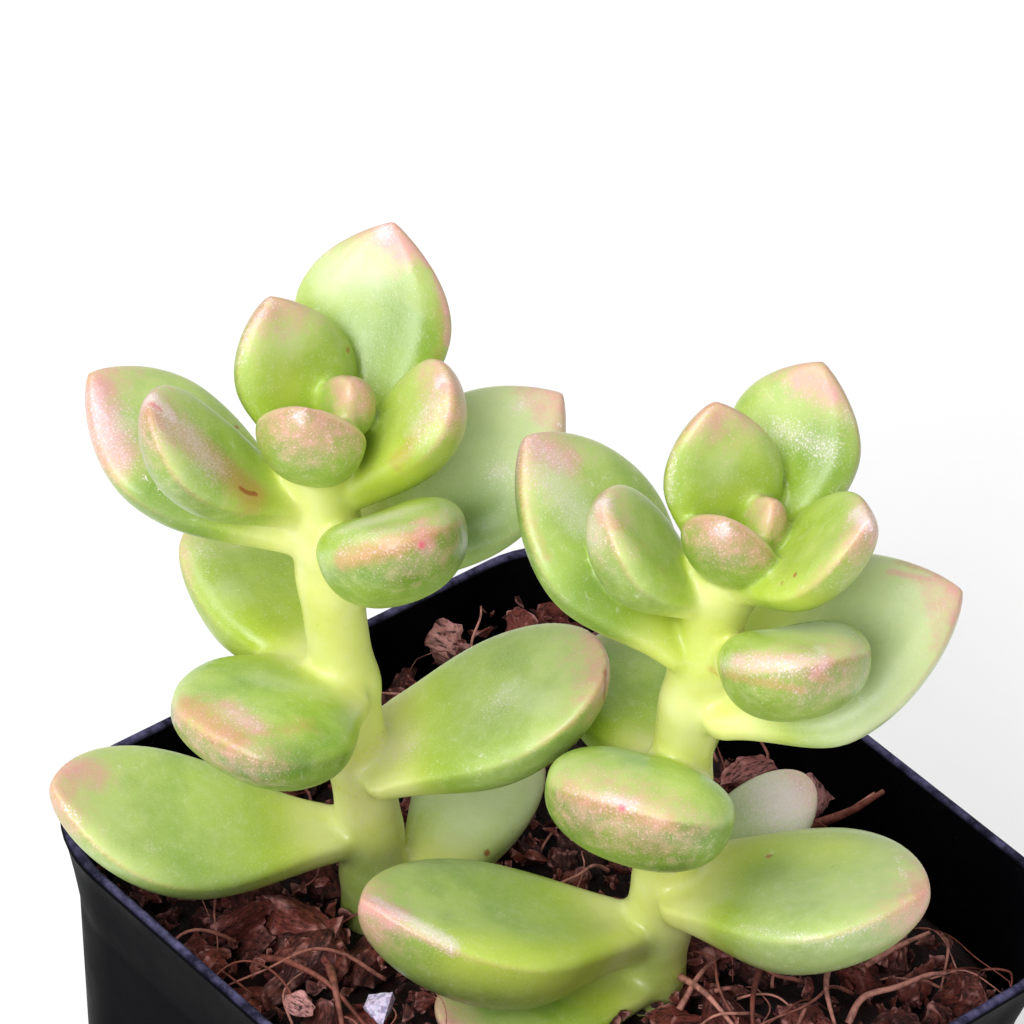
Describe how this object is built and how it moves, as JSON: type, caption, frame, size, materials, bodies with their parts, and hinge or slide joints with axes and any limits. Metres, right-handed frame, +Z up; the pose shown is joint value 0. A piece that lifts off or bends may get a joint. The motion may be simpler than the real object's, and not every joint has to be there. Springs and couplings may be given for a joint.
{
  "type": "potted sedum",
  "caption": "Potted sedum: upright leafy succulent shoots with plump pointed leaves in a small square black nursery pot of bark and coir mix.",
  "frame": {"origin": "centre of the pot's flat underside", "axes": "+Z up out of the pot; X and Y along the pot's sides"},
  "size_m": [0.0603, 0.0587, 0.0995],
  "materials": {
    "pot_plastic": "satin black moulded plastic with a bluish sheen on the rim",
    "bark_mix": "dull reddish-brown bark chips and coir fibres, damp and dark in the gaps",
    "sedum_skin": "waxy yellow-green succulent skin with a fine bloom, blushed salmon pink at tips and keels",
    "perlite": "rough pale lilac-white mineral"
  },
  "bodies": {
    "root": {"pot": "pot_plastic", "soil": "bark_mix", "leafy_stem_left": "sedum_skin", "leafy_stem_right": "sedum_skin", "perlite_chip": "perlite"}
  },
  "joints": []
}
